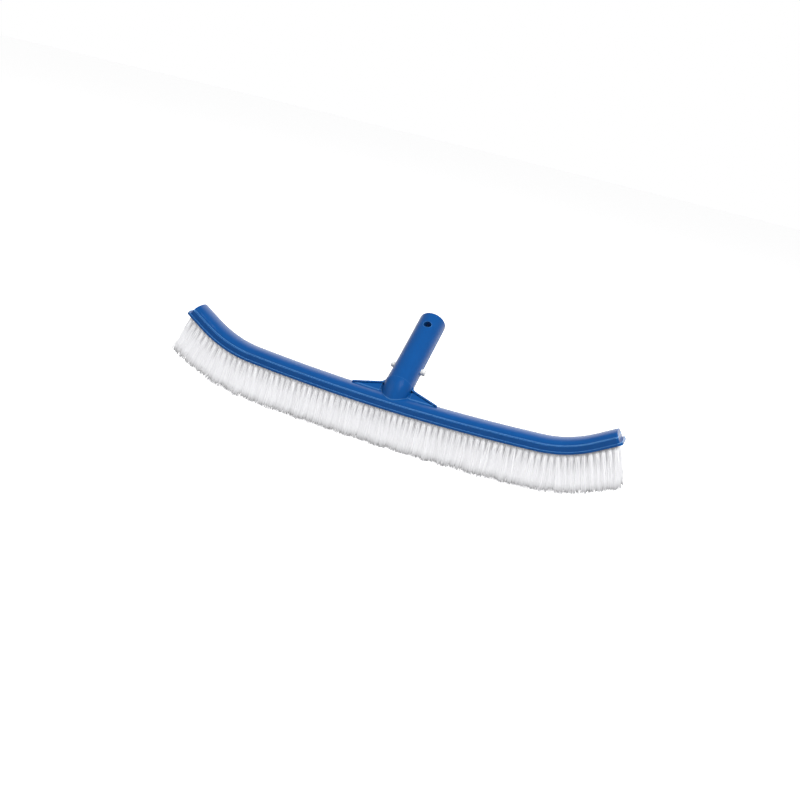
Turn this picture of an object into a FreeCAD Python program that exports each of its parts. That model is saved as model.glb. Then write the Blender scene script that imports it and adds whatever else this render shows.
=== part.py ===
import FreeCAD, Part
import math
import os

# Pool wall brush: a long bar that turns up at both ends, five rows of bristle tufts under it,
# and a leaning round handle that a telescopic pole slides over.
# Millimetres. +X along the bar, +Y to the side the handle leans to, +Z up, bristles down.
# The origin is under the middle of the bounding box, on the plane of the bristle tips.

V = FreeCAD.Vector

# Bar: its underside follows a very shallow arc, a tighter bend and a straight tail, each side.
middle_radius = 2080.0
middle_half_length = 150.0      # along the arc
bend_radius = 122.0
bend_angle = 27.0               # degrees
lip_half_length = 232.2         # along the whole curve
band_half_length = 229.5        # of the band and the back shell

# Block section, a lip and the band on it: half-depths across the bar, heights above the underside.
lip_half_depth = 16.0
lip_height = 2.8
band_half_depth = 15.0
block_height = 8.0
lip_corner = 0.9                # rounding of the lip's lower edges
lip_top_corner = 0.5
band_corner = 0.6
lip_end_corner = 4.5            # rounding of the lip's ends, seen from above
band_end_corner = 2.5

# Back shell section: half an ellipse outside, a flat-roofed hollow inside.
dome_half_depth = 13.4
dome_height = 5.6
roof_height = 3.0               # of the hollow, above the block
hollow_half_depth = 11.0
hollow_shoulder = 8.0           # half-width of the flat roof
hollow_wall = 1.0               # upright part of the hollow's side
shell_end_wall = 2.4
dome_end_round = 1.0

# Tufts
tuft_pitch = 6.0
row_pitch = 6.0
row_count = 5
long_row = 76
short_row = 75
tuft_lean = 0.58                # tuft's lean as a share of the bar's own slope
hole_radius = 2.0
hole_depth = 6.2
root_radius = 1.75
root_depth = 4.2                # how far the tuft reaches into its hole
tuft_length = 37.5
tip_radius = 2.6
zone_limit = 147.0              # tufts beyond this, along the bar, belong to the end zones

# Staples: flat wire anchors across the bottom of each tuft hole.
staple_width = 3.6
staple_thick = 0.4
staple_height = 1.6
staple_gap = 0.2

# Block screws stand in for six tufts of the middle row.
block_screw_places = (-177.0, -105.0, -33.0, 33.0, 105.0, 177.0)
block_screw_seat = 3.0
block_screw_end = 12.0
boss_radius = 3.6

# Pan-head screws, all of one section.
screw_radius = 1.7
head_radius = 2.8
head_height = 1.9
head_round = 0.5
recess_length = 3.4
recess_width = 0.7
recess_depth = 1.0
pilot_radius = 1.75
head_hole_radius = 3.0

# Handle: a tube on an axis that leans back from +Z.
handle_lean = 54.5              # degrees
handle_foot_y = 2.3             # a point of the axis, from the bar's middle plane
handle_foot_z = 14.4            # the same point, above the underside
handle_radius = 14.1
handle_bore = 11.0
handle_length = 107.0           # from that point to the tip
seat_length = 62.0              # true cylinder that the pole fits, from the tip
draft_radius = 14.4             # the tube widens to this at its neck
neck_top = 10.0                 # along the axis, where the tube meets the neck
bore_floor = 8.0
tip_wall = 2.2                  # closes the bore at the tip, except for the clip's slot
tip_slot_half_width = 11.0
tip_slot_depth = 9.8            # across the clip's plane
tip_round = 0.8
groove_width = 1.8
groove_depth = 0.6
groove_start = 42.0
groove_end = 101.0

# Neck: from the tube down to its footprint on the dome.
neck_step = 0.25                # shoulder where the tube leaves the neck
neck_pull = 12.2                # how far the front curve follows the tube before it turns
neck_overlap = 3.0              # the tube starts this far inside the neck
neck_foot_front = -13.0
neck_foot_back = 12.6
neck_foot_z = 7.0
neck_foot_half_width = 13.2
neck_sections = 5
oval_points = 24
shell_gap = 0.1                 # under the handle's foot, inside the shell

# Gussets
gusset_reach = 44.5             # half-distance between their outer corners
gusset_top = 9.2                # along the handle's axis, where the top edge meets the tube
gusset_outer = -1.3             # the same, at the outer corner
gusset_foot = -8.0              # sunk into the dome, then trimmed by it
gusset_root = 10.4              # from the axis: starts inside the tube's wall
gusset_fillet = 7.0             # between the top edge and the tube
gusset_web = 2.6
gusset_rim_width = 5.6
gusset_rim_thick = 1.6
relief_width = 1.3              # narrow channel in the gusset's face, beside the tube
relief_depth = 1.1
relief_top = 8.6

# Bolt hole through the handle and the slots for the clip's buttons.
bolt_hole_radius = 4.1
bolt_from_tip = 17.5
bolt_boss_radius = 6.2          # thickening around the hole, inside the bore
bolt_boss_end = 7.0             # from the axis; the clip passes between the two bosses
button_from_tip = 70.5
button_radius = 3.1
button_slot_radius = 3.45
button_slot_extra = 1.6         # towards the bar, for the button's swing
side_cut_inner = 7.0            # side slots and grooves are cut from here outwards
side_cut_outer = 22.0

# Handle screws: two pairs in the neck.
handle_screw_x = 6.5
handle_screw_front = -3.0
handle_screw_back = 5.5
handle_screw_end = 17.5

# Spring clip, in the plane of the handle's axis and X.
clip_width = 9.0
clip_thick = 1.6
bridge_end = 82.0               # along the axis, nearer the tip
wing_width = 6.0
wing_thick = 0.9
wing_gap = 0.05
hinge_along = 78.0
hinge_x = 5.2
hinge_radius = 1.3
hinge_gap = 0.2
leg_x = 8.9                     # middle of the leg where it runs along the tube's wall
leg_knee = 46.0
leg_end = 27.0
button_out = 4.0                # button's reach past the tube
button_crown = 1.1
hinge_clear_length = 30.0
lug_half_width = 1.2
lug_sunk = 0.5                  # overlap of a lug and the cross bar
bar_overhang = 1.0              # cross bar past the folds
knuckle_bite = 0.4              # overlap of a leg and its knuckle

hole_allowance = 0.3            # pilot holes past the ends of their screws

touching = 0.01                 # closer than this is in the plane

handle_angle = math.radians(handle_lean)
axis_y = math.sin(handle_angle)
axis_z = math.cos(handle_angle)
handle_dir = V(0, axis_y, axis_z)
front_dir = V(0, -axis_z, axis_y)
handle_foot = V(0, handle_foot_y, handle_foot_z)

middle_angle = middle_half_length / middle_radius
turn = math.radians(bend_angle)
bend_length = bend_radius * turn
tail_start = middle_half_length + bend_length

# The whole part is moved so that its origin lies under the middle of its bounding box.
handle_tip_y = handle_foot_y + handle_length * axis_y + handle_radius * axis_z
origin_y = (handle_tip_y - lip_half_depth) / 2
origin_shift = V(0, -origin_y, tuft_length)


def bar_point(s):
    """Place on the bar's underside at the distance s along it, and the bar's slope there."""
    side = 1.0 if s >= 0 else -1.0
    run = abs(s)
    first = min(run, middle_half_length) / middle_radius
    x = middle_radius * math.sin(first)
    z = middle_radius * (1 - math.cos(first))
    slope = first
    if run > middle_half_length:
        slope = middle_angle + min(run - middle_half_length, bend_length) / bend_radius
        x += bend_radius * (math.sin(slope) - math.sin(middle_angle))
        z += bend_radius * (math.cos(middle_angle) - math.cos(slope))
    if run > tail_start:
        x += (run - tail_start) * math.cos(slope)
        z += (run - tail_start) * math.sin(slope)
    return V(side * x, 0, z), side * slope


def placed(shape, s, y=0.0, share=1.0):
    """A copy of a shape drawn about the origin, set on the bar at s with a share of its slope."""
    point, slope = bar_point(s)
    copy = shape.copy()
    turned = FreeCAD.Rotation(V(0, 1, 0), -math.degrees(slope * share))
    place = FreeCAD.Placement(point + V(0, y, 0), turned)
    copy.Placement = place.multiply(shape.Placement)
    return copy


def along_bar(face, half_length):
    """Solid that a section in the YZ plane makes when it follows the bar to both sides."""
    middle_hub = V(0, 0, middle_radius)
    pieces = []
    for side in (-1, 1):
        about = V(0, -side, 0)
        start = face.copy()
        pieces.append(start.revolve(middle_hub, about, math.degrees(middle_angle)))
        point, slope = bar_point(side * middle_half_length)
        bend_hub = point + V(-math.sin(slope), 0, math.cos(slope)) * bend_radius
        bent = placed(face, side * middle_half_length)
        pieces.append(bent.revolve(bend_hub, about, bend_angle))
        point, slope = bar_point(side * tail_start)
        heading = V(math.cos(slope), 0, math.sin(slope)) * side
        tail = placed(face, side * tail_start)
        pieces.append(tail.extrude(heading * (half_length - tail_start)))
    solid = pieces[0].fuse(pieces[1:])
    return solid.removeSplitter().Solids[0]


def rounded_face(points, radii):
    """Flat face with straight sides and a rounding at each corner that has a radius."""
    edges = []
    last_end = None
    first_start = None
    for index, corner in enumerate(points):
        before = (points[index - 1] - corner).normalize()
        after = (points[(index + 1) % len(points)] - corner).normalize()
        half = before.getAngle(after) / 2
        radius = radii[index]
        trim = radius / math.tan(half)
        start = corner + before * trim
        end = corner + after * trim
        if last_end is None:
            first_start = start
        else:
            edges.append(Part.makeLine(last_end, start))
        if radius > 0:
            inward = (before + after).normalize()
            middle = corner + inward * (radius / math.sin(half) - radius)
            edges.append(Part.Arc(start, middle, end).toShape())
        last_end = end
    edges.append(Part.makeLine(last_end, first_start))
    return Part.Face(Part.Wire(edges))


def section_face(corners):
    """Section in the YZ plane from (y, z, rounding) corners of its right half."""
    outline = corners + [(-y, z, radius) for y, z, radius in reversed(corners)]
    return rounded_face([V(0, y, z) for y, z, _ in outline], [radius for _, _, radius in outline])


def lip_section():
    return section_face([(lip_half_depth, 0, lip_corner), (lip_half_depth, lip_height, lip_top_corner)])


def band_section():
    """The band's foot is sunk into the lip, so that the two join."""
    return section_face([(band_half_depth, lip_height / 2, 0), (band_half_depth, block_height, band_corner)])


def dome_section():
    """Upper half of an ellipse standing on the block's top."""
    centre = V(0, 0, block_height)
    side = V(0, dome_half_depth, block_height)
    ellipse = Part.Ellipse(side, V(0, 0, block_height + dome_height), centre)
    arc = Part.ArcOfEllipse(ellipse, 0, math.pi).toShape()
    base = Part.makeLine(V(0, -dome_half_depth, block_height), side)
    return Part.Face(Part.Wire([arc, base]))


def hollow_section():
    roof = block_height + roof_height
    return section_face([(hollow_half_depth, block_height, 0),
                         (hollow_half_depth, block_height + hollow_wall, 0), (hollow_shoulder, roof, 0)])


def row_places():
    """(row number, zone name, distance along the bar, distance across it) of every tuft."""
    places = []
    for row in range(row_count):
        count = long_row if row % 2 == 0 else short_row
        across = (row - (row_count - 1) / 2) * row_pitch
        for index in range(count):
            s = (index - (count - 1) / 2) * tuft_pitch
            middle_row = row == row_count // 2
            if middle_row and s in block_screw_places:
                continue
            zone = "centre"
            if abs(s) > zone_limit:
                zone = "left" if s < 0 else "right"
            places.append((row + 1, zone, s, across))
    return places


def rims_at(shape, point, normal):
    """Curved edges of a shape that lie in the plane through a point."""
    rims = []
    for edge in shape.Edges:
        samples = [edge.valueAt(edge.FirstParameter), edge.valueAt(edge.LastParameter)]
        flat = all(abs((sample - point).dot(normal)) < touching for sample in samples)
        straight = edge.Curve.TypeId == "Part::GeomLine"
        middle = edge.valueAt((edge.FirstParameter + edge.LastParameter) / 2)
        if flat and not straight and abs((middle - point).dot(normal)) < touching:
            rims.append(edge)
    return rims


def pan_screw(length):
    """Screw with its head's underside at the origin and its shank up +Z."""
    shank = Part.makeCylinder(screw_radius, length)
    head = Part.makeCylinder(head_radius, head_height, V(0, 0, -head_height))
    head = head.makeFillet(head_round, rims_at(head, V(0, 0, -head_height), V(0, 0, 1)))
    screw = shank.fuse(head).removeSplitter()
    for turned in (0, 90):
        slot = Part.makeBox(recess_length, recess_width, recess_depth,
                            V(-recess_length / 2, -recess_width / 2, -head_height))
        slot.rotate(V(0, 0, 0), V(0, 0, 1), turned)
        screw = screw.cut(slot)
    return screw.Solids[0]


def on_handle(along, x=0.0, front=0.0):
    """Point of the handle given along its axis, across in X and towards its front."""
    return handle_foot + handle_dir * along + V(x, 0, 0) + front_dir * front


def handle_cylinder(radius, start, end):
    return Part.makeCylinder(radius, end - start, on_handle(start), handle_dir)


def in_handle_plane(points, thickness, rounded=None, front=0.0):
    """Plate drawn as (x, along) points in the plane of the handle's axis and X, or in front of it.

    rounded gives the radius at the corners that have one, by their place in the list.
    """
    rounded = rounded or {}
    corners = [on_handle(along, x, front - thickness / 2) for x, along in points]
    face = rounded_face(corners, [rounded.get(index, 0) for index in range(len(points))])
    return face.extrude(front_dir * thickness)


def plate(x_from, x_to, along_from, along_to, thickness, front=0.0):
    """Rectangular plate in the plane of the handle's axis and X, or in front of it."""
    return in_handle_plane([(x_from, along_from), (x_to, along_from), (x_to, along_to), (x_from, along_to)],
                           thickness, front=front)


def dome_solid():
    """Outside of the back shell with rounded ends, before it is hollowed."""
    dome = along_bar(dome_section(), band_half_length)
    ends = []
    for side in (-1, 1):
        point, slope = bar_point(side * band_half_length)
        ends += rims_at(dome, point, V(math.cos(slope), 0, math.sin(slope)))
    return dome.makeFillet(dome_end_round, ends)


def end_trims(half_length, half_depth, corner):
    """What is cut away to round a bar's four corners as seen from above."""
    height = block_height + 2
    trims = []
    for side in (-1, 1):
        for across in (-1, 1):
            hub_x = -side * corner
            hub_y = across * (half_depth - corner)
            square = Part.makeBox(corner + 1, corner + 1, height,
                                  V(min(hub_x, hub_x + side * (corner + 1)),
                                    min(hub_y, hub_y + across * (corner + 1)), -1))
            round_part = Part.makeCylinder(corner, height, V(hub_x, hub_y, -1))
            trims.append(placed(square.cut(round_part), side * half_length))
    return Part.makeCompound(trims)


def make_block(places):
    lip = along_bar(lip_section(), lip_half_length)
    lip = lip.cut(end_trims(lip_half_length, lip_half_depth, lip_end_corner))
    band = along_bar(band_section(), band_half_length)
    band = band.cut(end_trims(band_half_length, band_half_depth, band_end_corner))
    block = lip.fuse(band).removeSplitter()
    drill = Part.makeCylinder(hole_radius, hole_depth + 1, V(0, 0, -1))
    holes = [placed(drill, s, y, tuft_lean) for _, _, s, y in places]
    block = block.cut(Part.makeCompound(holes))
    for s in block_screw_places:
        head_hole = Part.makeCylinder(head_hole_radius, block_screw_seat + 1, V(0, 0, -1))
        shank_hole = Part.makeCylinder(pilot_radius, block_height + 1)
        block = block.cut(placed(head_hole.fuse(shank_hole), s))
    return block.Solids[0]


def make_shell(dome):
    hollow = along_bar(hollow_section(), band_half_length - shell_end_wall)
    boss = Part.makeCylinder(boss_radius, roof_height + 1, V(0, 0, block_height))
    pilot = Part.makeCylinder(pilot_radius, block_screw_end + hole_allowance - block_height,
                              V(0, 0, block_height))
    hollow = hollow.cut(Part.makeCompound([placed(boss, s) for s in block_screw_places]))
    shell = dome.cut(hollow)
    for s in block_screw_places:
        shell = shell.cut(placed(pilot, s))
    for x, y in handle_screw_spots():
        hole = Part.makeCylinder(pilot_radius, dome_height + 1, V(x, y, block_height))
        shell = shell.cut(hole)
    return shell.Solids[0]


def handle_screw_spots():
    return [(x, y) for x in (-handle_screw_x, handle_screw_x)
            for y in (handle_screw_front, handle_screw_back)]


def neck_solid():
    """Loft from an oval on the dome to the tube; its front follows a smooth curve."""
    top_radius = draft_radius + neck_step
    top_front = on_handle(neck_top, 0, top_radius)
    top_back = on_handle(neck_top, 0, -top_radius)
    pull = top_front - handle_dir * neck_pull
    foot_front = V(0, neck_foot_front, neck_foot_z)
    foot_back = V(0, neck_foot_back, neck_foot_z)
    wires = []
    for index in range(neck_sections):
        u = index / (neck_sections - 1)
        front = foot_front * (1 - u) ** 2 + pull * (2 * u * (1 - u)) + top_front * u ** 2
        back = foot_back * (1 - u) + top_back * u
        centre = (front + back) * 0.5
        half_depth = (front - back).Length / 2
        half_width = neck_foot_half_width * (1 - u) + top_radius * u
        across = (front - back).normalize()
        normal = V(1, 0, 0).cross(across)
        wires.append(oval(centre, across, normal, half_depth, half_width))
    return Part.makeLoft(wires, True, False)


def oval(centre, across, normal, half_depth, half_width):
    """Closed curve through points of an ellipse, all drawn from the same side."""
    points = []
    for step in range(oval_points):
        angle = 2 * math.pi * step / oval_points
        points.append(centre + V(1, 0, 0) * (half_width * math.cos(angle))
                      + across * (half_depth * math.sin(angle)))
    curve = Part.BSplineCurve()
    curve.interpolate(points, PeriodicFlag=True)
    return Part.Wire([curve.toShape()])


def gusset(side):
    """Web between the tube and the dome with a wider rim on its top edge."""
    lift = gusset_top + gusset_fillet
    tube_x = side * draft_radius
    web = in_handle_plane([(side * gusset_root, gusset_foot), (side * gusset_reach, gusset_foot),
                           (side * gusset_reach, gusset_outer), (tube_x, gusset_top), (tube_x, lift),
                           (side * gusset_root, lift)], gusset_web, {3: gusset_fillet})
    slope = math.atan2(gusset_top - gusset_outer, gusset_reach - draft_radius)
    drop = gusset_rim_thick / math.cos(slope)
    rim = in_handle_plane([(tube_x, gusset_top - drop), (side * gusset_reach, gusset_outer - drop),
                           (side * gusset_reach, gusset_outer), (tube_x, gusset_top), (tube_x, lift),
                           (side * gusset_root, lift), (side * gusset_root, gusset_top - drop)],
                          gusset_rim_width, {3: gusset_fillet})
    return web.fuse(rim)


def relief(side):
    """Narrow channel in the front face of a gusset, where it meets the tube."""
    inner = draft_radius - relief_width / 2
    return plate(side * inner, side * (draft_radius + relief_width), gusset_foot, relief_top,
                 relief_depth * 2, gusset_web / 2)


def button_slot(side):
    """Hole for a button through the tube's wall, longer towards the bar."""
    top = handle_length - button_from_tip
    low = top - button_slot_extra
    rounds = [Part.makeCylinder(button_slot_radius, side_cut_outer - side_cut_inner,
                                on_handle(along, side * side_cut_inner), V(side, 0, 0))
              for along in (top, low)]
    link = plate(side * side_cut_inner, side * side_cut_outer, low, top, 2 * button_slot_radius)
    return rounds[0].fuse([rounds[1], link])


def bolt_bosses():
    """The two bosses in the bore that the bolt hole runs through."""
    length = (handle_radius + handle_bore) / 2 - bolt_boss_end
    place = handle_length - bolt_from_tip
    return [Part.makeCylinder(bolt_boss_radius, length, on_handle(place, 0, side * bolt_boss_end),
                              front_dir * side) for side in (-1, 1)]


def make_handle(dome):
    tip = handle_length
    seat_start = tip - seat_length
    tube = handle_cylinder(handle_radius, seat_start, tip)
    tube = tube.makeFillet(tip_round, rims_at(tube, on_handle(tip), handle_dir))
    sunk = neck_top - neck_overlap
    draft = Part.makeCone(draft_radius, handle_radius, seat_start - sunk, on_handle(sunk), handle_dir)
    body = tube.fuse([draft, neck_solid(), gusset(-1), gusset(1)])
    body = body.cut(handle_cylinder(handle_bore, bore_floor, tip - tip_wall))
    body = body.cut(plate(-tip_slot_half_width, tip_slot_half_width, tip - 2 * tip_wall, tip + 1,
                          tip_slot_depth))
    body = body.fuse(bolt_bosses())
    bolt = Part.makeCylinder(bolt_hole_radius, 4 * handle_radius,
                             on_handle(tip - bolt_from_tip, 0, -2 * handle_radius), front_dir)
    body = body.cut(bolt)
    for side in (-1, 1):
        groove = plate(side * (handle_radius - groove_depth), side * side_cut_outer, groove_start,
                       groove_end, groove_width)
        body = body.cut([button_slot(side), groove, relief(side)])
    # Inside the dome there is no handle, and its foot ends above the block.
    floor = Part.makeBox(2 * lip_half_length, 4 * lip_half_depth, 4 * block_height,
                         V(-lip_half_length, -2 * lip_half_depth, shell_gap - 3 * block_height))
    body = body.cut(dome).cut(floor)
    for x, y in handle_screw_spots():
        body = body.cut(Part.makeCylinder(pilot_radius, handle_screw_end + hole_allowance, V(x, y, 0)))
    # What the dome cut off inside it falls away.
    return max(body.Solids, key=lambda solid: solid.Volume)


def make_bridge():
    """Fixed end of the clip: a cross bar with two lugs that the legs fold at."""
    end = hinge_x + bar_overhang
    body = plate(-end, end, bridge_end - clip_thick, bridge_end, clip_width)
    wing = math.sqrt(handle_bore ** 2 - wing_width ** 2 / 4) - wing_gap
    body = body.fuse(plate(-wing, wing, bridge_end - wing_thick, bridge_end, wing_width))
    reach = hinge_radius + hinge_gap
    for side in (-1, 1):
        fold = side * hinge_x
        lug = plate(fold - lug_half_width, fold + lug_half_width, hinge_along + reach,
                    bridge_end - lug_sunk, clip_width)
        clear = Part.makeCylinder(reach, hinge_clear_length,
                                  on_handle(hinge_along, fold, -hinge_clear_length / 2), front_dir)
        body = body.fuse(lug).cut(clear)
    return body.removeSplitter().Solids[0]


def make_leg(side):
    """Clip leg with a round knuckle at its fold, a run along the wall and its button."""
    half = clip_thick / 2
    fold = side * hinge_x
    wall = side * leg_x
    knuckle = Part.makeCylinder(hinge_radius, clip_width, on_handle(hinge_along, fold, -clip_width / 2),
                                front_dir)
    leg = in_handle_plane([(fold - side * half, hinge_along - knuckle_bite),
                           (fold + side * half, hinge_along - knuckle_bite),
                           (wall + side * half, leg_knee), (wall + side * half, leg_end),
                           (wall - side * half, leg_end), (wall - side * half, leg_knee)], clip_width)
    length = handle_radius + button_out - leg_x
    outward = V(side, 0, 0)
    button = Part.makeCylinder(button_radius, length,
                               on_handle(handle_length - button_from_tip, wall), outward)
    button = button.makeFillet(button_crown, rims_at(button, outward * (handle_radius + button_out), outward))
    return knuckle.fuse([leg, button]).removeSplitter().Solids[0]


def make_tuft():
    """One tuft about the mouth of its hole: its root is up in the hole, and it widens to its tip."""
    return Part.makeCone(root_radius, tip_radius, root_depth + tuft_length, V(0, 0, root_depth), V(0, 0, -1))


def make_staple():
    bottom = hole_depth - staple_gap - staple_height
    return Part.makeBox(staple_width, staple_thick, staple_height,
                        V(-staple_width / 2, -staple_thick / 2, bottom))


def save(name, shape):
    moved = shape.copy()
    moved.translate(origin_shift)
    moved.exportStep("parts/" + name + ".step")
    box = moved.BoundBox
    print("%-24s solids %3d  valid %s  volume %9.1f  box %.1f..%.1f %.1f..%.1f %.1f..%.1f"
          % (name, len(moved.Solids), moved.isValid(), moved.Volume, box.XMin, box.XMax,
             box.YMin, box.YMax, box.ZMin, box.ZMax))


os.makedirs("parts", exist_ok=True)
tuft_places = row_places()
dome_outside = dome_solid()

save("bristle_block", make_block(tuft_places))
save("back_shell", make_shell(dome_outside))
save("handle", make_handle(dome_outside))
save("clip_bridge", make_bridge())
save("clip_leg_left", make_leg(-1))
save("clip_leg_right", make_leg(1))

block_screw = pan_screw(block_screw_end - block_screw_seat)
block_screw.translate(V(0, 0, block_screw_seat))
save("block_screws", Part.makeCompound([placed(block_screw, s) for s in block_screw_places]))

shell_roof = block_height + roof_height
handle_screw = pan_screw(handle_screw_end - shell_roof)
save("handle_screws", Part.makeCompound([handle_screw.translated(V(x, y, shell_roof))
                                         for x, y in handle_screw_spots()]))

tuft = make_tuft()
staple = make_staple()
for row in range(1, row_count + 1):
    for zone in ("left", "centre", "right"):
        spots = [place for place in tuft_places if place[0] == row and place[1] == zone]
        group = [placed(tuft, s, y, tuft_lean) for _, _, s, y in spots]
        save("tufts_row%d_%s" % (row, zone), Part.makeCompound(group))
    spots = [place for place in tuft_places if place[0] == row]
    anchors = [placed(staple, s, y, tuft_lean) for _, _, s, y in spots]
    save("staples_row%d" % row, Part.makeCompound(anchors))
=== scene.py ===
import math
import bpy
import numpy as np
from mathutils import Matrix, Vector


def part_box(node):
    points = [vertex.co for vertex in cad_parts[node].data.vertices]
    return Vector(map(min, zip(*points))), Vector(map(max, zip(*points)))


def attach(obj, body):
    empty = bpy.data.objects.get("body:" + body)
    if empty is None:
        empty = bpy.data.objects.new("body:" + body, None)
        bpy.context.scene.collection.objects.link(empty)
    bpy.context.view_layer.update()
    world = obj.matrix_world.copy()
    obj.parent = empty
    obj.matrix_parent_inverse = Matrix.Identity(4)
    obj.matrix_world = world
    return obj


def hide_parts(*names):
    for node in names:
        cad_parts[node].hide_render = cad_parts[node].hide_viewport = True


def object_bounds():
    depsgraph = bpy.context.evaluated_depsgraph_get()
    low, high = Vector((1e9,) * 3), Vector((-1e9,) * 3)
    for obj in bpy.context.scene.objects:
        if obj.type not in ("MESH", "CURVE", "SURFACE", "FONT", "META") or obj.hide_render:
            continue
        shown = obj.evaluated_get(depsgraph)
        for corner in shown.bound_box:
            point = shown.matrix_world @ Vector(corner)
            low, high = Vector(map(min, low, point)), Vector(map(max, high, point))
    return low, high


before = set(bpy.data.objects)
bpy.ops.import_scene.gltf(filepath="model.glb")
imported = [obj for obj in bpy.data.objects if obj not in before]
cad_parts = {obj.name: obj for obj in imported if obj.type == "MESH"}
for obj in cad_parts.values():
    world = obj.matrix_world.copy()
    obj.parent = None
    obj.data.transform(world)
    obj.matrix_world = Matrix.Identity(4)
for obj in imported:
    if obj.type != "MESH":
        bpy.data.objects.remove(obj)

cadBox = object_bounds()
blockLow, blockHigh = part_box("bristle_block")
rows = range(1, 6)           # the rows of tufts, front to back
middleRow = 3
print("frame loaded:", len(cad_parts), "CAD pieces")


# shader effects that several materials share

sharedLooks = {
    "dustBegins": 0.40,      # noise values between which the dust thickens
    "dustFull": 0.85,
    "edgeBegins": 0.88,      # how open the body is inside, which drops close to an edge
    "edgeFull": 0.60,
    "edgeSamples": 12,
    "edgeUneven": 0.7,       # how much the painted highlight and wear vary along an edge
    "edgeLeast": 0.65,
}


def newGroup(name, inputs, outputs):
    group = bpy.data.node_groups.new(name, "ShaderNodeTree")
    for label, kind, value in inputs:
        socket = group.interface.new_socket(label, in_out="INPUT", socket_type=kind)
        socket.default_value = value
    for label, kind in outputs:
        group.interface.new_socket(label, in_out="OUTPUT", socket_type=kind)
    start = group.nodes.new("NodeGroupInput")
    end = group.nodes.new("NodeGroupOutput")
    return group, start, end


def addMath(tree, kind, first, second, third=None):
    node = tree.nodes.new("ShaderNodeMath")
    node.operation = kind
    for slotIndex, value in enumerate((first, second, third)):
        if value is None:
            continue
        if isinstance(value, (int, float)):
            node.inputs[slotIndex].default_value = value
        else:
            tree.links.new(value, node.inputs[slotIndex])
    return node.outputs[0]


def addNoise(tree, vector, scale, detail=3.0):
    node = tree.nodes.new("ShaderNodeTexNoise")
    node.inputs["Detail"].default_value = detail
    tree.links.new(vector, node.inputs["Vector"])
    if isinstance(scale, (int, float)):
        node.inputs["Scale"].default_value = scale
    else:
        tree.links.new(scale, node.inputs["Scale"])
    return node.outputs["Fac"]


def makeMouldGroup():  # the faint orange peel and flow marks of moulded plastic
    group, start, end = newGroup(
        "mouldedSurface",
        [("Peel Scale", "NodeSocketFloat", 900.0), ("Flow Scale", "NodeSocketFloat", 40.0),
         ("Peel", "NodeSocketFloat", 0.5), ("Flow", "NodeSocketFloat", 0.5)],
        [("Height", "NodeSocketFloat"), ("Cloud", "NodeSocketFloat")])
    place = group.nodes.new("ShaderNodeTexCoord").outputs["Object"]
    peel = addNoise(group, place, start.outputs["Peel Scale"], 2.0)
    flow = addNoise(group, place, start.outputs["Flow Scale"], 4.0)
    peelPart = addMath(group, "MULTIPLY", peel, start.outputs["Peel"])
    flowPart = addMath(group, "MULTIPLY", flow, start.outputs["Flow"])
    group.links.new(addMath(group, "ADD", peelPart, flowPart), end.inputs["Height"])
    group.links.new(flow, end.inputs["Cloud"])
    return group


def makeDustGroup():  # a thin uneven film of dust, as a mask
    group, start, end = newGroup(
        "shelfDust",
        [("Scale", "NodeSocketFloat", 40.0), ("Amount", "NodeSocketFloat", 0.06)],
        [("Mask", "NodeSocketFloat")])
    place = group.nodes.new("ShaderNodeTexCoord").outputs["Object"]
    film = addNoise(group, place, start.outputs["Scale"], 3.0)
    ramp = group.nodes.new("ShaderNodeMapRange")
    ramp.inputs["From Min"].default_value = sharedLooks["dustBegins"]
    ramp.inputs["From Max"].default_value = sharedLooks["dustFull"]
    group.links.new(film, ramp.inputs["Value"])
    mask = addMath(group, "MULTIPLY", ramp.outputs[0], start.outputs["Amount"])
    group.links.new(mask, end.inputs["Mask"])
    return group


def makeEdgeGroup():  # edges and rims, where little body lies under the surface, as a mask for a painted highlight with a little wear
    group, start, end = newGroup(
        "edgeHighlightAndWear",
        [("Width", "NodeSocketFloat", 0.001), ("Amount", "NodeSocketFloat", 0.5),
         ("Break Up", "NodeSocketFloat", 300.0)],
        [("Mask", "NodeSocketFloat")])
    depth = group.nodes.new("ShaderNodeAmbientOcclusion")
    depth.inside = True
    depth.only_local = True
    depth.samples = sharedLooks["edgeSamples"]
    group.links.new(start.outputs["Width"], depth.inputs["Distance"])
    ramp = group.nodes.new("ShaderNodeMapRange")
    ramp.inputs["From Min"].default_value = sharedLooks["edgeBegins"]
    ramp.inputs["From Max"].default_value = sharedLooks["edgeFull"]
    group.links.new(depth.outputs["AO"], ramp.inputs["Value"])
    place = group.nodes.new("ShaderNodeTexCoord").outputs["Object"]
    patches = addNoise(group, place, start.outputs["Break Up"], 2.0)
    broken = addMath(group, "MULTIPLY_ADD", patches, sharedLooks["edgeUneven"],
                     sharedLooks["edgeLeast"])
    highlightedEdges = addMath(group, "MULTIPLY", ramp.outputs[0], broken)
    mask = addMath(group, "MULTIPLY", highlightedEdges, start.outputs["Amount"])
    group.links.new(mask, end.inputs["Mask"])
    return group


mouldedSurface = makeMouldGroup()
shelfDust = makeDustGroup()
edgeHighlightAndWear = makeEdgeGroup()


def newMaterial(name):
    material = bpy.data.materials.new(name)
    material.use_nodes = True
    return material, material.node_tree, material.node_tree.nodes["Principled BSDF"]


def placeGroup(tree, group, **values):
    node = tree.nodes.new("ShaderNodeGroup")
    node.node_tree = group
    for label, value in values.items():
        node.inputs[label.replace("_", " ")].default_value = value
    return node


def mixColours(tree, factor, first, second):  # a blend of two fixed colours
    node = tree.nodes.new("ShaderNodeMix")
    node.data_type = "RGBA"
    tree.links.new(factor, node.inputs[0])
    node.inputs[6].default_value = (*first, 1)
    node.inputs[7].default_value = (*second, 1)
    return node.outputs[2]


def mixOver(tree, factor, under, colour):  # a fixed colour laid over what is there
    node = tree.nodes.new("ShaderNodeMix")
    node.data_type = "RGBA"
    tree.links.new(factor, node.inputs[0])
    tree.links.new(under, node.inputs[6])
    node.inputs[7].default_value = (*colour, 1)
    return node.outputs[2]


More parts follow.
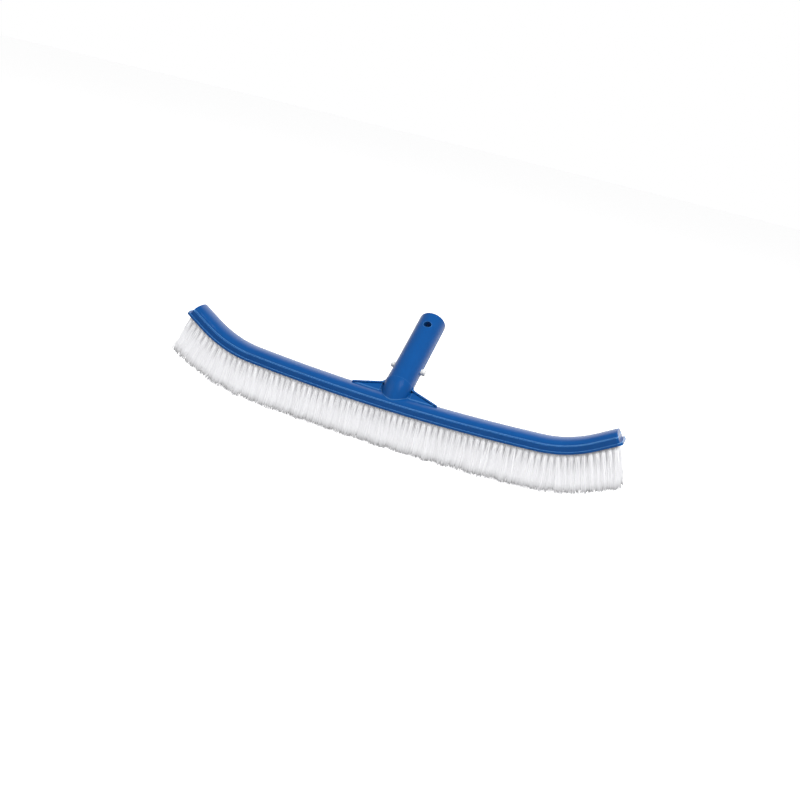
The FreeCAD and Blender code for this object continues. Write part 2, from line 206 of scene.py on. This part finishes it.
def addBump(tree, shader, height, strength, distance):
    bump = tree.nodes.new("ShaderNodeBump")
    bump.inputs["Strength"].default_value = strength
    bump.inputs["Distance"].default_value = distance
    tree.links.new(height, bump.inputs["Height"])
    tree.links.new(bump.outputs["Normal"], shader.inputs["Normal"])


# plastics and metal

bluePlastic = {
    "colour": (0.002, 0.070, 0.27),
    "paler": (0.004, 0.084, 0.31),     # where the melt cooled slower
    "dust": (0.008, 0.12, 0.40),
    "dustScale": 40.0,
    "dustAmount": 0.06,
    "dustRoughness": 0.3,
    # a paler blue painted on edges and rims: a painted highlight, with a little wear
    "edge": (0.20, 0.50, 0.92),
    "edgeWidth": 0.0010,
    "edgeScale": 260.0,
    "blockEdge": 0.85,       # how strong the painted edge highlight is on each moulding
    "shellEdge": 0.5,
    "handleEdge": 0.2,
    "peelScale": 1400.0,
    "flowScale": 28.0,
    "peel": 0.35,
    "flow": 0.65,
    "roughness": 0.26,
    "coat": 0.10,
    "coatRoughness": 0.12,
    "bump": 0.08,
    "bumpDepth": 0.0004,
}

clipPlastic = {
    "colour": (0.86, 0.86, 0.85),
    "shade": (0.78, 0.78, 0.76),
    "peelScale": 2200.0,
    "flowScale": 90.0,
    "peel": 0.4,
    "flow": 0.4,
    "roughness": 0.38,
    "bump": 0.2,
    "bumpDepth": 0.0002,
}

steelWire = {
    "colour": (0.60, 0.60, 0.61),
    "shade": (0.42, 0.42, 0.43),
    "peelScale": 5200.0,
    "flowScale": 260.0,
    "peel": 0.6,
    "flow": 0.2,
    "roughness": 0.32,
    "bump": 0.3,
    "bumpDepth": 0.0001,
}


def placeMould(tree, look):
    return placeGroup(tree, mouldedSurface, Peel_Scale=look["peelScale"],
                      Flow_Scale=look["flowScale"], Peel=look["peel"], Flow=look["flow"])


def makeBluePlastic(name, edgeAmount):
    look = bluePlastic
    material, tree, shader = newMaterial(name)
    mould = placeMould(tree, look)
    dust = placeGroup(tree, shelfDust, Scale=look["dustScale"], Amount=look["dustAmount"])
    edge = placeGroup(tree, edgeHighlightAndWear, Width=look["edgeWidth"], Amount=edgeAmount,
                      Break_Up=look["edgeScale"])
    body = mixColours(tree, mould.outputs["Cloud"], look["colour"], look["paler"])
    dusty = mixOver(tree, dust.outputs["Mask"], body, look["dust"])
    # paler edges laid over the body colour: a painted highlight, with a little wear
    highlightedEdges = mixOver(tree, edge.outputs["Mask"], dusty, look["edge"])
    tree.links.new(highlightedEdges, shader.inputs["Base Color"])
    rough = addMath(tree, "MULTIPLY_ADD", dust.outputs["Mask"], look["dustRoughness"],
                    look["roughness"])
    tree.links.new(rough, shader.inputs["Roughness"])
    shader.inputs["Coat Weight"].default_value = look["coat"]
    shader.inputs["Coat Roughness"].default_value = look["coatRoughness"]
    addBump(tree, shader, mould.outputs["Height"], look["bump"], look["bumpDepth"])
    return material


def makePlain(name, look, metallic):  # a material of two close tones with a fine surface
    material, tree, shader = newMaterial(name)
    mould = placeMould(tree, look)
    body = mixColours(tree, mould.outputs["Cloud"], look["colour"], look["shade"])
    tree.links.new(body, shader.inputs["Base Color"])
    shader.inputs["Metallic"].default_value = metallic
    shader.inputs["Roughness"].default_value = look["roughness"]
    addBump(tree, shader, mould.outputs["Height"], look["bump"], look["bumpDepth"])
    return material


def wear(material, *nodes):
    for name in nodes:
        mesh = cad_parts[name].data
        mesh.materials.clear()
        mesh.materials.append(material)


wear(makeBluePlastic("blueBlockPlastic", bluePlastic["blockEdge"]), "bristle_block")
wear(makeBluePlastic("blueShellPlastic", bluePlastic["shellEdge"]), "back_shell")
wear(makeBluePlastic("blueHandlePlastic", bluePlastic["handleEdge"]), "handle")
wear(makePlain("whiteNylon", clipPlastic, 0.0), "clip_bridge", "clip_leg_left", "clip_leg_right")
wear(makePlain("plainSteel", steelWire, 1.0), "block_screws", "handle_screws",
     *[f"staples_row{row}" for row in rows])
print("plastics and metal done")


# bristles

bristles = {
    "perTuft": 46,
    "radius": 0.00027,
    "corners": 5,
    "rings": 6,
    "holeDepth": 0.0042,     # how far a CAD tuft reaches into its hole
    "sunk": 0.0016,          # how far the visible strands start inside the hole
    "packRadius": 0.00155,
    "packJitter": 0.05,      # how far a strand strays from its even place in the tuft
    "packLimit": 1.02,
    "tipRadius": 0.0036,
    "flareShare": 0.72,      # how much of that widening is done by the knee
    "kneeAt": 0.42,
    "stray": 0.0010,
    "tuftSway": 0.0009,
    "trim": 0.0009,          # raggedness of the cut, strand by strand
    "tuftTrim": 0.00045,     # and tuft by tuft
    "meanCut": -0.0015,      # the longest strands end where the CAD tuft does
    "endCut": 0.0035,        # how much longer the last tufts are
    "endFrom": 0.17,         # distance from the middle at which they begin to lengthen
    "endSpan": 0.05,
    "rowFlare": 0.0008,      # outer rows lean out, per row from the middle
    "white": (0.60, 0.60, 0.615),
    "shade": (0.44, 0.44, 0.46),
    "shadeMean": 0.35,       # how far strands go from white to shade
    "shadeSpread": 0.22,
    "tip": (0.18, 0.18, 0.185),
    "tipPower": 26.0,        # the cut ends are grey only at the very tip
    "tipLeast": 0.25,        # how grey the tip of the whitest strand is
    "tipVaries": 1.2,
    "roughness": 0.42,
    "glow": 0.40,            # painted glow: emission standing in for light that the clear nylon passes on from strand to strand
    "gapFrom": 0.05,         # shares of the length between which the painted shade in the gaps fades
    "gapEnd": 0.66,
    "gapDepth": 2.6,
    "gapReach": 0.004,
    "gapSamples": 6,
    "rootGlow": 1.05,        # extra painted glow near the roots, where the bar shades them
    "seed": 41,
}


def makeBristlePlastic():
    material, tree, shader = newMaterial("whiteFilament")
    strand = tree.nodes.new("ShaderNodeAttribute")
    strand.attribute_name = "strandTint"
    along = tree.nodes.new("ShaderNodeAttribute")
    along.attribute_name = "strandAlong"
    body = mixColours(tree, strand.outputs["Fac"], bristles["white"], bristles["shade"])
    nearTip = addMath(tree, "POWER", along.outputs["Fac"], bristles["tipPower"])
    greyness = addMath(tree, "MULTIPLY_ADD", strand.outputs["Fac"], bristles["tipVaries"],
                       bristles["tipLeast"])
    tipPart = addMath(tree, "MULTIPLY", nearTip, greyness)
    tree.links.new(mixOver(tree, tipPart, body, bristles["tip"]), shader.inputs["Base Color"])
    shader.inputs["Roughness"].default_value = bristles["roughness"]
    # painted glow: the strands emit white light of their own, so they look brighter than the
    # lamps make them
    shader.inputs["Emission Color"].default_value = (1, 1, 1, 1)
    # painted shade: the glow is cut where strands are hidden, so the gaps between tufts are dark
    # under the bar and fade out towards the tips
    nearRoot = tree.nodes.new("ShaderNodeMapRange")
    nearRoot.interpolation_type = "SMOOTHSTEP"
    nearRoot.inputs["From Min"].default_value = bristles["gapEnd"]
    nearRoot.inputs["From Max"].default_value = bristles["gapFrom"]
    tree.links.new(along.outputs["Fac"], nearRoot.inputs["Value"])
    depth = tree.nodes.new("ShaderNodeAmbientOcclusion")
    depth.samples = bristles["gapSamples"]
    depth.inputs["Distance"].default_value = bristles["gapReach"]
    hidden = addMath(tree, "SUBTRACT", 1.0, depth.outputs["AO"])
    change = addMath(tree, "MULTIPLY_ADD", hidden, -bristles["gapDepth"], bristles["rootGlow"])
    paintedGlowFactor = addMath(tree, "MULTIPLY_ADD", change, nearRoot.outputs[0], 1.0)
    unlit = addMath(tree, "SUBTRACT", 1.0, tipPart)
    share = addMath(tree, "MULTIPLY", addMath(tree, "MAXIMUM", paintedGlowFactor, 0.0), unlit)
    light = addMath(tree, "MULTIPLY", share, bristles["glow"])
    tree.links.new(light, shader.inputs["Emission Strength"])
    return material


endFaceDepth = 1e-4          # points this near a solid's end belong to its end face


def tuftEnds(node):  # (root, tip) of every solid in a CAD tuft node
    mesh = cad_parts[node].data
    flat = np.empty(len(mesh.vertices) * 3, np.float32)
    mesh.vertices.foreach_get("co", flat)
    points, same = np.unique(np.round(flat.reshape(-1, 3), 6), axis=0, return_inverse=True)
    pairs = np.empty(len(mesh.edges) * 2, np.int32)
    mesh.edges.foreach_get("vertices", pairs)
    pairs = same.ravel()[pairs.reshape(-1, 2)]
    label = np.arange(len(points))
    while True:  # every point of one solid ends with the same label
        lower = label.copy()
        np.minimum.at(lower, pairs[:, 0], label[pairs[:, 1]])
        np.minimum.at(lower, pairs[:, 1], label[pairs[:, 0]])
        lower = lower[lower]
        if (lower == label).all():
            break
        label = lower
    ends = []
    for part in np.unique(label):
        cloud = points[label == part].astype(float)
        centre = cloud.mean(0)
        axis = np.linalg.svd(cloud - centre, full_matrices=False)[2][0]
        if axis[2] > 0:
            axis = -axis
        reach = (cloud - centre) @ axis
        root = cloud[reach < reach.min() + endFaceDepth].mean(0)
        tip = cloud[reach > reach.max() - endFaceDepth].mean(0)
        ends.append((root, tip))
    return sorted(ends, key=lambda pair: pair[0][0])


goldenAngle = math.pi * (3 - math.sqrt(5))


def strandPoints(root, tip, flare, rng):  # centre lines of one tuft: strands x rings x 3
    look = bristles
    count = look["perTuft"]
    axis = (tip - root) / np.linalg.norm(tip - root)
    side = np.cross(axis, (0, 1, 0))
    side /= np.linalg.norm(side)
    front = np.cross(axis, side)
    mouth = root + axis * look["holeDepth"]
    length = np.linalg.norm(tip - mouth)
    order = np.arange(count) + 0.5
    ring = np.sqrt(order / count) + rng.normal(0, look["packJitter"], count)
    ring = np.clip(ring, 0, look["packLimit"])
    angle = order * goldenAngle + rng.uniform(0, 2 * math.pi)
    spoke = np.outer(ring * np.cos(angle), side) + np.outer(ring * np.sin(angle), front)
    stray = np.outer(rng.normal(0, look["stray"], count), side)
    stray += np.outer(rng.normal(0, look["stray"], count), front)
    sway = side * rng.normal(0, look["tuftSway"]) + front * rng.normal(0, look["tuftSway"])
    atEnd = np.clip((abs(root[0]) - look["endFrom"]) / look["endSpan"], 0, 1) ** 2
    reach = length + rng.normal(0, look["trim"], count) + rng.normal(0, look["tuftTrim"])
    reach = np.minimum(reach + look["meanCut"], length) + look["endCut"] * atEnd
    widening = look["tipRadius"] - look["packRadius"]
    start = mouth - axis * look["sunk"] + spoke * look["packRadius"]
    end = mouth + np.outer(reach, axis) + spoke * look["tipRadius"]
    end = end + stray + sway + np.array((0, flare, 0))
    knee = start + axis * length * look["kneeAt"] + spoke * widening * look["flareShare"]
    t = np.linspace(0, 1, look["rings"])[None, :, None]
    return start[:, None] * (1 - t) ** 2 + knee[:, None] * 2 * t * (1 - t) + end[:, None] * t ** 2


def strandMesh(name, lines, tints):  # a thin tube round every centre line
    strands, rings = lines.shape[:2]
    ahead = np.gradient(lines, axis=1)
    ahead /= np.linalg.norm(ahead, axis=2, keepdims=True)
    side = np.cross(ahead, (0, 1, 0))
    side /= np.linalg.norm(side, axis=2, keepdims=True)
    front = np.cross(ahead, side)
    corners = bristles["corners"]
    around = np.arange(corners) / corners * 2 * math.pi
    acrossSide = (np.cos(around) * bristles["radius"])[None, None, :, None]
    acrossFront = (np.sin(around) * bristles["radius"])[None, None, :, None]
    skin = lines[:, :, None] + side[:, :, None] * acrossSide + front[:, :, None] * acrossFront
    points = skin.reshape(-1, 3)
    here = np.arange(corners)
    after = (here + 1) % corners
    strandFirst = np.arange(strands)[:, None] * rings * corners
    low = (strandFirst + np.arange(rings - 1) * corners)[:, :, None]
    high = low + corners
    quads = np.stack([low + here, low + after, high + after, high + here], -1)
    lids = strandFirst + (rings - 1) * corners + here
    feet = strandFirst + here[::-1]
    faces = quads.reshape(-1, 4).tolist() + lids.tolist() + feet.tolist()
    mesh = bpy.data.meshes.new(name)
    mesh.from_pydata(points.tolist(), [], faces)
    tint = mesh.attributes.new("strandTint", "FLOAT", "POINT")
    tint.data.foreach_set("value", np.repeat(tints, rings * corners).astype(np.float32))
    along = mesh.attributes.new("strandAlong", "FLOAT", "POINT")
    share = np.tile(np.repeat(np.linspace(0, 1, rings), corners), strands)
    along.data.foreach_set("value", share.astype(np.float32))
    smooth = np.zeros(len(mesh.polygons), bool)
    smooth[:strands * (rings - 1) * corners] = True
    mesh.polygons.foreach_set("use_smooth", smooth)
    return mesh


def makeBristles():
    material = makeBristlePlastic()
    total = 0
    for row in rows:
        for zone in ("left", "centre", "right"):
            node = f"tufts_row{row}_{zone}"
            # the three words differ in length, so every node gets a seed of its own
            rng = np.random.default_rng(bristles["seed"] + row * 10 + len(zone))
            flare = (row - middleRow) * bristles["rowFlare"]
            tufts = [strandPoints(root, tip, flare, rng) for root, tip in tuftEnds(node)]
            lines = np.concatenate(tufts)
            tints = rng.normal(bristles["shadeMean"], bristles["shadeSpread"], len(lines))
            mesh = strandMesh(node, lines, np.clip(tints, 0, 1))
            piece = bpy.data.objects.new(f"bristles_row{row}_{zone}", mesh)
            bpy.context.scene.collection.objects.link(piece)
            piece.data.materials.append(material)
            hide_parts(node)
            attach(piece, "brush")
            total += len(lines)
    print("bristles done:", total, "strands")


makeBristles()


# studio

studio = {
    "floorColour": (0.90, 0.90, 0.905),
    "floorGlow": 0.75,       # only what the camera sees
    "floorBounce": (0.48, 0.48, 0.50),   # its colour for the light that it gives back
    "floorRadius": 14.0,
    "floorSides": 96,
    "floorRoughness": 0.9,
    "skyShown": 1.0,         # what the camera sees past the floor
    "skyBack": 1.15,         # the bright side, behind the brush
    "skyFront": 0.14,
    "brightFrom": 0.42,      # how far round to the back the bright side begins
    "brightFull": 0.92,
    "keySize": 1.1,
    "keyPower": 44.0,
    "keyPlace": (0.75, -0.75, 1.75),
    "fillSize": 1.4,
    "fillPower": 9.0,
    "fillPlace": (-1.3, -1.1, 1.1),
    "lightAim": (0, 0, 0.05),
}

cameraView = {
    "azimuth": 13.4,
    "elevation": 14.15,
    "roll": 13.8,
    "distance": 1.115,
    "lens": 51.28,
    "sensor": 36,
    "aim": (0.0070, 0.0, 0.0102),   # from the middle of the block's underside
}


def makeFloor():
    sides = studio["floorSides"]
    radius = studio["floorRadius"]
    angles = [k / sides * 2 * math.pi for k in range(sides)]
    points = [(radius * math.cos(angle), radius * math.sin(angle), 0) for angle in angles]
    mesh = bpy.data.meshes.new("studioFloor")
    mesh.from_pydata(points, [], [tuple(range(sides))])
    floor = bpy.data.objects.new("studioFloor", mesh)
    bpy.context.scene.collection.objects.link(floor)
    material, tree, shader = newMaterial("palePaper")
    shader.inputs["Roughness"].default_value = studio["floorRoughness"]
    shader.inputs["Specular IOR Level"].default_value = 0.0
    shader.inputs["Emission Color"].default_value = (1, 1, 1, 1)
    isCamera = tree.nodes.new("ShaderNodeLightPath").outputs["Is Camera Ray"]
    tree.links.new(mixColours(tree, isCamera, studio["floorBounce"], studio["floorColour"]),
                   shader.inputs["Base Color"])
    tree.links.new(addMath(tree, "MULTIPLY", isCamera, studio["floorGlow"]),
                   shader.inputs["Emission Strength"])
    mesh.materials.append(material)
    floor.location.z = cadBox[0].z
    floor.visible_glossy = False   # the plastic mirrors only the sky


def makeSky():  # bright behind the brush and dim in front, so that edges turned away gleam
    world = bpy.data.worlds.new("studioSky")
    world.use_nodes = True
    tree = world.node_tree
    background = tree.nodes["Background"]
    background.inputs["Color"].default_value = (1, 1, 1, 1)
    direction = tree.nodes.new("ShaderNodeTexCoord").outputs["Generated"]
    parts = tree.nodes.new("ShaderNodeSeparateXYZ")
    tree.links.new(direction, parts.inputs[0])
    ramp = tree.nodes.new("ShaderNodeMapRange")
    ramp.interpolation_type = "SMOOTHSTEP"
    ramp.inputs["From Min"].default_value = studio["brightFrom"]
    ramp.inputs["From Max"].default_value = studio["brightFull"]
    ramp.inputs["To Min"].default_value = studio["skyFront"]
    ramp.inputs["To Max"].default_value = studio["skyBack"]
    tree.links.new(parts.outputs["Y"], ramp.inputs["Value"])
    isCamera = tree.nodes.new("ShaderNodeLightPath").outputs["Is Camera Ray"]
    shown = addMath(tree, "MULTIPLY", isCamera, studio["skyShown"])
    unseen = addMath(tree, "SUBTRACT", 1.0, isCamera)
    lit = addMath(tree, "MULTIPLY_ADD", unseen, ramp.outputs[0], shown)
    tree.links.new(lit, background.inputs["Strength"])
    bpy.context.scene.world = world


def addLight(name):  # a soft round lamp: "key" or "fill"
    data = bpy.data.lights.new(f"{name}Light", "AREA")
    data.shape = "DISK"
    data.size = studio[f"{name}Size"]
    data.energy = studio[f"{name}Power"]
    place = Vector(studio[f"{name}Place"])
    light = bpy.data.objects.new(f"{name}Light", data)
    light.location = place
    light.visible_glossy = False
    towards = Vector(studio["lightAim"]) - place
    light.rotation_euler = towards.to_track_quat("-Z", "Y").to_euler()
    bpy.context.scene.collection.objects.link(light)


def makeCamera():
    around = math.radians(cameraView["azimuth"])
    above = math.radians(cameraView["elevation"])
    back = Vector((math.sin(around) * math.cos(above), -math.cos(around) * math.cos(above),
                   math.sin(above)))
    right = Vector((math.cos(around), math.sin(around), 0))
    up = back.cross(right)
    roll = math.radians(cameraView["roll"])
    turned = Matrix((right * math.cos(roll) + up * math.sin(roll),
                     up * math.cos(roll) - right * math.sin(roll), back)).transposed()
    middle = (blockLow + blockHigh) / 2
    middle.z = blockLow.z
    data = bpy.data.cameras.new("camera")
    data.lens = cameraView["lens"]
    data.sensor_width = cameraView["sensor"]
    camera = bpy.data.objects.new("camera", data)
    place = middle + Vector(cameraView["aim"]) + back * cameraView["distance"]
    camera.matrix_world = Matrix.Translation(place) @ turned.to_4x4()
    bpy.context.scene.collection.objects.link(camera)
    bpy.context.scene.camera = camera


makeFloor()
makeSky()
addLight("key")
addLight("fill")
bpy.context.scene.view_settings.view_transform = "Standard"
makeCamera()
print("studio and camera done")
